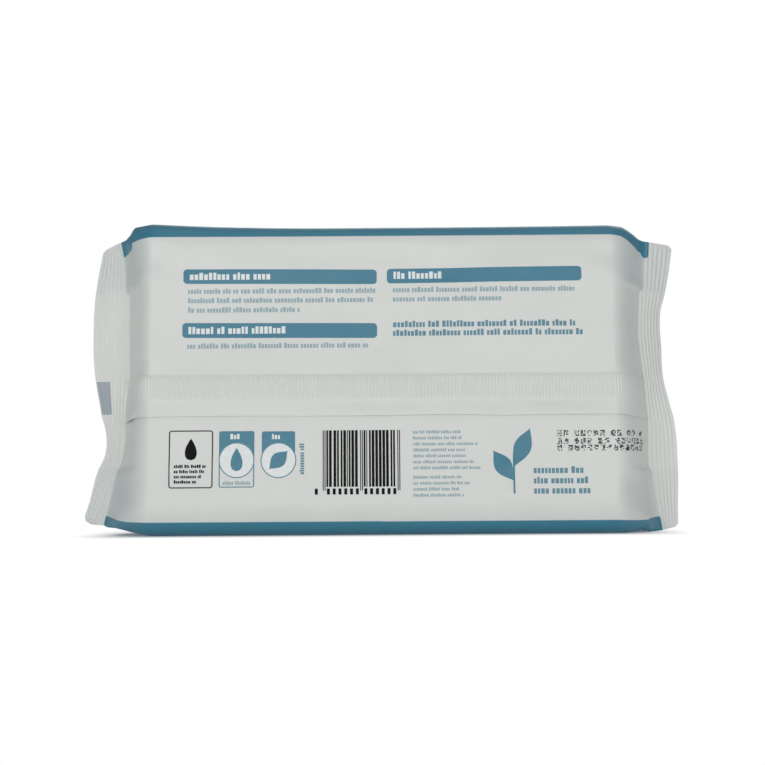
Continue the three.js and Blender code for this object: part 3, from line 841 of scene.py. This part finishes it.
class WIPES_OT_print(bpy.types.Operator):
    """Lays the plain print on the back panel: title bars, lines of blocks and simple signs"""

    bl_idname = "wipes_pack.print"
    bl_label = "Back print"

    def execute(self, context):
        film = context.scene.wipes_film
        ink = context.scene.wipes_print
        lift = ink.lift / MM
        rng = random.Random(11)
        inks = {"teal": film.teal, "small": ink.text_teal, "strong": ink.strong_teal,
                "dark": ink.dark, "pale": ink.pale, "sign": film.teal}
        layers = {"pale": 1.5, "sign": 2.0}
        sheets = {name: PrintSheet(film, lift * layers.get(name, 1.0)) for name in inks}
        for left, right, foot, top, rise in TITLE_BARS:
            sheets["teal"].rounded(left, right, foot, top, BAR_CORNER, rise)
        for left, right, foot, height, name in PRINT_LINES:
            sheets[name].blocks(left, right, foot, height, rng)
        left, right, height = SMALL_COLUMN
        for foot in SMALL_HEIGHTS:
            sheets["small"].blocks(left, right - rng.uniform(0, SMALL_RAGGED), foot, height, rng)
        self.signs(sheets, rng)
        self.stripes(sheets["dark"], rng)
        self.dots(sheets["dark"], rng)
        foot, top, right, height = UPRIGHT_LINE
        sheets["strong"].blocks(foot, top, right, height, rng, upwards=True)
        for name, sheet in sheets.items():
            sheen = BLACK_SHEEN if name == "dark" else SATIN_SHEEN
            sheet.piece("print_" + name, flexo_ink(name + " flexographic ink", inks[name], sheen))
        return {"FINISHED"}

    def signs(self, sheets, rng):
        """A framed box, two teal signs with a drop and a leaf on discs, and a sprig of two leaves."""
        dark, teal, pale, sign, small = (sheets[name] for name in ("dark", "teal", "pale", "sign", "small"))
        left, right, foot, top = FRAME_BOX
        dark.ring(left, right, foot, top, FRAME_CORNER, FRAME_LINE)
        middle = (left + right) / 2
        dark.leaf((middle, top - 11), (middle, top - 3), 6, round_foot=True)
        for i in range(4):
            dark.blocks(left + 2, right - 2 - i, foot + 7.5 - 1.9 * i, 0.9, rng)
        for i, (left, right, foot, top) in enumerate(SIGN_FIELDS):
            middle = (left + right) / 2
            height = foot + SIGN_DISC_HEIGHT
            disc = (middle - SIGN_DISC, middle + SIGN_DISC, height - SIGN_DISC, height + SIGN_DISC, SIGN_DISC)
            teal.rounded(left, right, height, top, SIGN_CORNER)
            pale.rounded(*disc)
            pale.blocks(middle - 2.4, middle + 2.4, top - 2.9, 1.5, rng)
            sign.ring(*disc, SIGN_LINE)
            if i:
                sign.leaf((middle - 3.4, height - 3.2), (middle + 3.4, height + 3.4), 5.4)
            else:
                outside = (left - RING_PAST, right + RING_PAST, foot, top + RING_PAST)
                teal.ring(*outside, SIGN_CORNER, SIGN_LINE)
                small.blocks(left + 1.4, right - 1.4, foot + 1, 1.0, rng)
                sign.leaf((middle, height - 4), (middle, height + 4.6), 6, round_foot=True)
        middle, foot, height = SPRIG
        teal.box(middle - 0.35, middle + 0.35, foot, foot + 0.62 * height)
        teal.leaf((middle - 0.3, foot + 0.2 * height), (middle - 7.6, foot + 0.66 * height), 6.4)
        teal.leaf((middle + 0.3, foot + 0.42 * height), (middle + 6.2, foot + height), 6.4)

    def stripes(self, sheet, rng):
        """Upright stripes of one to three modules, which carry no number, over plain blocks."""
        left, right, foot, top = STRIPES
        low, width, tall = STRIPE_BLOCKS
        guards = (left, (left + right - STRIPE_GUARD) / 2, right - STRIPE_GUARD)
        for x in guards:
            sheet.box(x, x + STRIPE_MODULE, GUARD_FOOT, top)
            sheet.box(x + 2 * STRIPE_MODULE, x + STRIPE_GUARD, GUARD_FOOT, top)
        block_middles = [left - LONE_BLOCK]
        for start, end in zip(guards[:-1], guards[1:]):
            x = start + STRIPE_GUARD + STRIPE_MODULE
            while x < end - 4 * STRIPE_MODULE:
                stripe = STRIPE_MODULE * rng.choice((1, 2, 2, 3, 3))
                sheet.box(x, x + stripe, foot, top)
                x += stripe + STRIPE_MODULE * rng.choice((1, 1, 1, 2))
            pitch = (end - start - STRIPE_GUARD) / BLOCKS_A_HALF
            block_middles += [start + STRIPE_GUARD + (i + 0.5) * pitch for i in range(BLOCKS_A_HALF)]
        for middle in block_middles:
            sheet.box(middle - width / 2, middle + width / 2, low, low + tall)

    def dots(self, sheet, rng):
        """Rows of printed dots in small groups."""
        for foot in DOT_ROWS:
            x = DOT_LEFT
            while x < DOT_RIGHT:
                for column in range(DOT_COLUMNS):
                    for row in range(DOT_TALL):
                        if rng.random() < DOT_CHANCE:
                            left = x + column * DOT_PITCH
                            low = foot + row * DOT_PITCH
                            sheet.box(left, left + DOT_SIZE, low, low + DOT_SIZE)
                x += GROUP_STEP if rng.random() < GROUP_CHANCE else GAP_STEP


# Flip lid: levels over the front panel and heights from the lid's middle, in millimetres

LID_HEIGHT = (FLANGE_LOW.z + FLANGE_HIGH.z) / 2 / MM
FLANGE_UNDER = FLANGE_LOW.y / MM - FRONT_DEPTH
RIM_TOP = FLANGE_HIGH.y / MM - FRONT_DEPTH
FLAP_FOOT = FLAP_LOW.y / MM - FRONT_DEPTH
FLAP_FACE = FLAP_HIGH.y / MM - FRONT_DEPTH
HINGE_LINE = HINGE.z / MM - LID_HEIGHT
HINGE_LEVEL = HINGE.y / MM - FRONT_DEPTH
CORNER_STEPS = 14


def outline(width, height, radius, grow, level, middle=(0, 0)):
    """Points round a rounded rectangle on the front panel, grown outwards, at a level over the panel."""
    half_x, half_z = width / 2 + grow, height / 2 + grow
    bend = max(radius + grow, 0.3)
    ring = []
    for quarter, (sx, sz) in enumerate(((1, 1), (-1, 1), (-1, -1), (1, -1))):
        for turn in quarter * math.pi / 2 + np.linspace(0, math.pi / 2, CORNER_STEPS + 1):
            ring.append((middle[0] + sx * (half_x - bend) + bend * math.cos(turn), FRONT_DEPTH + level,
                         LID_HEIGHT + middle[1] + sz * (half_z - bend) + bend * math.sin(turn)))
    return np.array(ring)


def eased(rings, radii):
    """Puts a small round at each ring that has a radius, between the rings before and after it."""
    path = []
    for i, (ring, radius) in enumerate(zip(rings, radii)):
        if not radius:
            path.append(ring)
            continue
        ends = []
        for other in (rings[i - 1], rings[(i + 1) % len(rings)]):
            way = other - ring
            span = np.maximum(np.linalg.norm(way, axis=1, keepdims=True), 1e-6)
            ends.append(ring + way * np.minimum(radius / span, 0.48))
        for t in np.linspace(0, 1, 5):
            path.append(ends[0] * (1 - t) ** 2 + ring * 2 * t * (1 - t) + ends[1] * t**2)
    return path


def shell(bm, rings, radii, ring_shaped=False):
    """Joins rings into a closed shell: round to its first ring again, or filled at both ends."""
    path = eased(rings, radii)
    if ring_shaped:
        path.append(path[0])
    places = np.stack([np.concatenate([ring, ring[:1]]) for ring in path])
    made = [vert for vert, column, row in mapped_grid(bm, places)]
    bmesh.ops.remove_doubles(bm, verts=made, dist=1e-6)
    bmesh.ops.holes_fill(bm, edges=[edge for edge in bm.edges if edge.is_boundary])
    outwards(bm)


def slab(bm, shape, middle, low, high, inset, rounds):
    """A flat rounded slab between two levels. Rounds are the radii of its lower and its upper edge."""
    steps = ((-inset, low), (0, low), (0, high), (-inset, high))
    shell(bm, [outline(*shape, grow, level, middle) for grow, level in steps], (0, *rounds, 0))


class WIPES_OT_lid(bpy.types.Operator):
    """Builds the flip lid: flange and rim, hinge ledge, flap with its tab, hinge web and the peel-off seal"""

    bl_idname = "wipes_pack.lid"
    bl_label = "Flip lid"

    # Lengths in millimetres
    hinge_gap = 0.35  # from the hinge line to the ledge
    ledge_depth, ledge_fall, ledge_drop = 3.2, 1.5, 0.2  # fall of the ledge's crest; drop under the hinge
    ledge_edge = 0.3
    face_sink = 0.4
    ring_depth, ring_wall, ring_clear = 4.3, 1, 0.4  # of the sealing ring; clear of the rim
    tab = (26, 12, 5)  # width, height and corner radius
    tab_levels = (5.6, 7.4)
    pull = (18, 14, 7)  # of the label's pull tab: width, height and corner radius
    pull_lift = 0.15
    web_reach = 0.9  # half the hinge web's width
    web_short, web_drop, web_thickness = 0.6, 0.3, 0.25

    def execute(self, context):
        lid = context.scene.wipes_lid
        plastic = polypropylene("moulded polypropylene", lid.white, 0.36)
        window = tuple(v / MM for v in (lid.window_width, lid.window_height, lid.window_radius))
        self.frame(lid, window, plastic)
        self.flap(lid, window, plastic)
        self.web(lid, plastic)
        self.seal(lid, window)
        return {"FINISHED"}

    def frame(self, lid, window, plastic):
        """The base plate with its rim, and the ledge that carries the hinge."""
        width, height = (FLANGE_HIGH.x - FLANGE_LOW.x) / MM, (FLANGE_HIGH.z - FLANGE_LOW.z) / MM
        flange = (width, height, lid.flange_radius / MM)
        face = FLANGE_UNDER + lid.flange_thickness / MM
        wall = lid.rim_wall / MM
        rings = [outline(*flange, 0, level) for level in (FLANGE_UNDER, face)]
        rings += [outline(*window, grow, level) for grow, level in (
            (wall, face), (wall, RIM_TOP), (0, RIM_TOP), (0, FLANGE_UNDER))]
        bm = bmesh.new()
        shell(bm, rings, (0, 0.6, 0.5, 0.5, 0.5, 0), ring_shaped=True)
        near = HINGE_LINE + self.hinge_gap
        far = near + self.ledge_depth
        top = HINGE_LEVEL - self.ledge_drop
        half = lid.hinge_length / MM / 2
        ledge = bmesh.ops.create_cube(bm, size=2)["verts"]
        for vert in ledge:
            x, y, z = vert.co
            crest = top if z < 0 else top - self.ledge_fall
            vert.co = Vector((half * x, FRONT_DEPTH + (crest if y > 0 else face - 0.5),
                              LID_HEIGHT + (far if z > 0 else near))) * MM
        edges = [e for e in bm.edges if e.verts[0] in ledge and e.verts[1] in ledge]
        bmesh.ops.bevel(bm, geom=edges, offset=self.ledge_edge * MM, segments=3, profile=0.5, affect="EDGES",
                        material=-1)
        outwards(bm)
        made = new_piece("lid_frame_moulding", bm, plastic)
        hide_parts("lid_frame")

    def flap(self, lid, window, plastic):
        """The cap with its sunk face, skirt and sealing ring, and the thumb tab at its lower edge."""
        cap = ((FLAP_HIGH.x - FLAP_LOW.x) / MM, lid.flap_height / MM, lid.flap_radius / MM)
        wall = lid.flap_wall / MM
        under = FLAP_FACE - wall
        sunk = FLAP_FACE - self.face_sink
        ring_foot = under - self.ring_depth
        inside = lid.rim_wall / MM + self.ring_clear
        outside = inside + self.ring_wall
        rings = [outline(*cap, grow, level) for grow, level in (
            (-24, sunk), (-7.5, sunk), (-6.7, FLAP_FACE), (0, FLAP_FACE), (0, FLAP_FOOT), (-wall, FLAP_FOOT),
            (-wall, under))]
        rings += [outline(*window, grow, level) for grow, level in (
            (outside, under), (outside, ring_foot), (inside, ring_foot), (inside, under), (-12, under))]
        bm = bmesh.new()
        shell(bm, rings, (0, 0.5, 0.5, 1.8, 0.3, 0.3, 0.8, 0.4, 0.3, 0.3, 0.4, 0))
        middle = (0, FLAP_LOW.z / MM - LID_HEIGHT + self.tab[1] / 2)
        slab(bm, self.tab, middle, *self.tab_levels, 2, (0.5, 0.7))
        made = new_piece("lid_flap_moulding", bm, plastic, "lid")
        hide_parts("lid_flap")

    def web(self, lid, plastic):
        """The thin web of the living hinge, between the frame and the flap."""
        half = lid.hinge_length / MM / 2 - self.web_short
        xs = np.linspace(-half, half, 30)
        zs = np.linspace(HINGE_LINE - self.web_reach, HINGE_LINE + self.web_reach, 19) + LID_HEIGHT
        x, z = np.meshgrid(xs, zs, indexing="ij")
        bm = bmesh.new()
        mapped_grid(bm, np.stack([x, np.full_like(x, FRONT_DEPTH + HINGE_LEVEL - self.web_drop), z], -1))
        outwards(bm)
        bmesh.ops.solidify(bm, geom=bm.faces[:], thickness=self.web_thickness * MM)
        outwards(bm)
        web = new_piece("hinge_web", bm, plastic, body=None)
        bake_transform(web)

    def seal(self, lid, window):
        """The peel-off label over the dispensing slit, with its pull tab."""
        margin = (window[0] * MM - (LABEL_HIGH.x - LABEL_LOW.x)) / 2 / MM
        low = LABEL_LOW.y / MM - FRONT_DEPTH
        high = LABEL_HIGH.y / MM - FRONT_DEPTH
        width = self.pull[0]
        label = (window[0] - 2 * margin - width / 2, window[1] - 2 * margin, window[2] - margin)
        shift = -width / 4
        bm = bmesh.new()
        slab(bm, label, (shift, 0), low, high, 3, (0.1, 0.1))
        slab(bm, self.pull, (shift + label[0] / 2, 0), low, high + self.pull_lift, 3, (0.1, 0.1))
        made = new_piece("seal_label", bm, polypropylene("label film", lid.label, 0.3))
        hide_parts("opening_seal")


class WIPES_OT_stage(bpy.types.Operator):
    """Sets the floor, the soft light and the camera"""

    bl_idname = "wipes_pack.stage"
    bl_label = "Stage"

    near_field = (95, 12, 0)  # half the field under the pack, in millimetres
    fade = (6, 22)  # millimetres past that field at which the floor's fade to white begins and ends
    floor_half = 4  # metres
    # Each light: name, place and size in metres, power in watts
    lamps = (("front", (-0.1, -1.1, 0.18), (1.8, 0.34), 6.35),
             ("overhead", (0.1, -0.3, 1.1), (1.2, 1.2), 2.2),
             ("rear", (0.2, 1.3, 0.7), (1.2, 1.2), 8.5))
    lit_place = Vector((0, 0, 0.06))
    surround, surround_strength = (0.965, 1, 1.06, 1), 0.24

    def execute(self, context):
        stage = context.scene.wipes_stage
        self.floor(stage)
        self.world(context.scene)
        self.lights(context.scene)
        self.camera(context.scene, stage)
        context.scene.view_settings.view_transform = "Standard"
        return {"FINISHED"}

    def floor(self, stage):
        """A faintly glowing white floor. It takes the pack's shadow, and further off is plain white."""
        white = rgba(stage.floor)
        settings = {"Base Color": white, "Roughness": 0.9, "Specular IOR Level": 0.1,
                    "Emission Color": white, "Emission Strength": 0.12}
        material, tree, surface = new_material("white studio floor", settings)
        glow = node(tree, "ShaderNodeEmission", {"Color": white, "Strength": 1.0})
        place = node(tree, "ShaderNodeTexCoord").outputs["Object"]
        field = Vector(self.near_field) * MM
        for operation, other in (("ABSOLUTE", (0, 0, 0)), ("SUBTRACT", field), ("MAXIMUM", (0, 0, 0))):
            settings = {"operation": operation, 1: other}
            place = node(tree, "ShaderNodeVectorMath", settings, {0: place}).outputs["Vector"]
        away = node(tree, "ShaderNodeVectorMath", {"operation": "LENGTH"}, {0: place}).outputs["Value"]
        fade = spread(tree, away, self.fade[0] * MM, self.fade[1] * MM)
        camera_ray = node(tree, "ShaderNodeLightPath").outputs["Is Camera Ray"]
        share = node(tree, "ShaderNodeMath", {"operation": "MULTIPLY"}, {0: fade, 1: camera_ray})
        mixed = node(tree, "ShaderNodeMixShader", {},
                     {0: share.outputs[0], 1: surface.outputs[0], 2: glow.outputs[0]})
        tree.links.new(mixed.outputs[0], tree.nodes["Material Output"].inputs["Surface"])
        bm = bmesh.new()
        bmesh.ops.create_grid(bm, x_segments=1, y_segments=1, size=self.floor_half)
        floor = new_piece("floor", bm, material, body=None)

    def world(self, scene):
        """White to the camera; to everything else an even studio surround."""
        scene.world = bpy.data.worlds.new("studio surround")
        scene.world.use_nodes = True
        tree = scene.world.node_tree
        seen = node(tree, "ShaderNodeBackground", {"Color": (1, 1, 1, 1), "Strength": 1.0})
        light = tree.nodes["Background"]
        light.inputs["Color"].default_value = self.surround
        light.inputs["Strength"].default_value = self.surround_strength
        path = node(tree, "ShaderNodeLightPath")
        mixed = node(tree, "ShaderNodeMixShader", {},
                     {0: path.outputs["Is Camera Ray"], 1: light.outputs[0], 2: seen.outputs[0]})
        tree.links.new(mixed.outputs[0], tree.nodes["World Output"].inputs["Surface"])

    def lights(self, scene):
        """A wide light behind the camera, one overhead, and one over the lid's side."""
        for name, place, size, power in self.lamps:
            data = bpy.data.lights.new(name, "AREA")
            data.shape = "RECTANGLE"
            data.size, data.size_y = size
            data.energy = power
            light = bpy.data.objects.new(name, data)
            light.location = place
            light.rotation_euler = (self.lit_place - light.location).to_track_quat("-Z", "Y").to_euler()
            scene.collection.objects.link(light)

    def camera(self, scene, stage):
        """The view of the back panel, nearly square on, from a little below its middle."""
        data = bpy.data.cameras.new("camera")
        data.lens = stage.lens
        data.sensor_width = 36
        data.clip_start = 0.01
        camera = bpy.data.objects.new("camera", data)
        back = float(back_depth(scene.wipes_film, BODY_HEIGHT / 2)) * MM
        aim = Vector((0, -back, stage.aim_height))
        away = Vector((0, -math.cos(stage.elevation), math.sin(stage.elevation)))
        view = (-away).to_track_quat("-Z", "Y").to_matrix().to_4x4()
        rolled = view @ Matrix.Rotation(stage.roll, 4, "Z")
        camera.matrix_world = Matrix.Translation(aim + away * stage.distance) @ rolled
        scene.collection.objects.link(camera)
        scene.camera = camera


class WIPES_PT_pack(bpy.types.Panel):
    """Settings and build steps of the wipes pack"""

    bl_idname = "WIPES_PT_pack"
    bl_label = "Wipes pack"
    bl_space_type = "VIEW_3D"
    bl_region_type = "UI"
    bl_category = "Wipes pack"

    def draw(self, context):
        for operator, group in STEPS:
            self.layout.operator(operator.bl_idname)
            settings = getattr(context.scene, group)
            for name in settings.__annotations__:
                self.layout.prop(settings, name)


SETTINGS = {"wipes_film": FilmSettings, "wipes_print": PrintSettings,
            "wipes_lid": LidSettings, "wipes_stage": StageSettings}
STEPS = ((WIPES_OT_film, "wipes_film"), (WIPES_OT_seam, "wipes_film"), (WIPES_OT_print, "wipes_print"),
         (WIPES_OT_lid, "wipes_lid"), (WIPES_OT_stage, "wipes_stage"))
CLASSES = (*SETTINGS.values(), *(operator for operator, group in STEPS), WIPES_PT_pack)


def register():
    for cls in CLASSES:
        bpy.utils.register_class(cls)
    for name, group in SETTINGS.items():
        setattr(bpy.types.Scene, name, PointerProperty(type=group))


def unregister():
    for name in SETTINGS:
        delattr(bpy.types.Scene, name)
    for cls in reversed(CLASSES):
        bpy.utils.unregister_class(cls)


def main():
    register()
    bpy.ops.wipes_pack.film()
    bpy.ops.wipes_pack.seam()
    bpy.ops.wipes_pack.print()
    bpy.ops.wipes_pack.lid()
    bpy.ops.wipes_pack.stage()


if __name__ == "__main__":
    main()
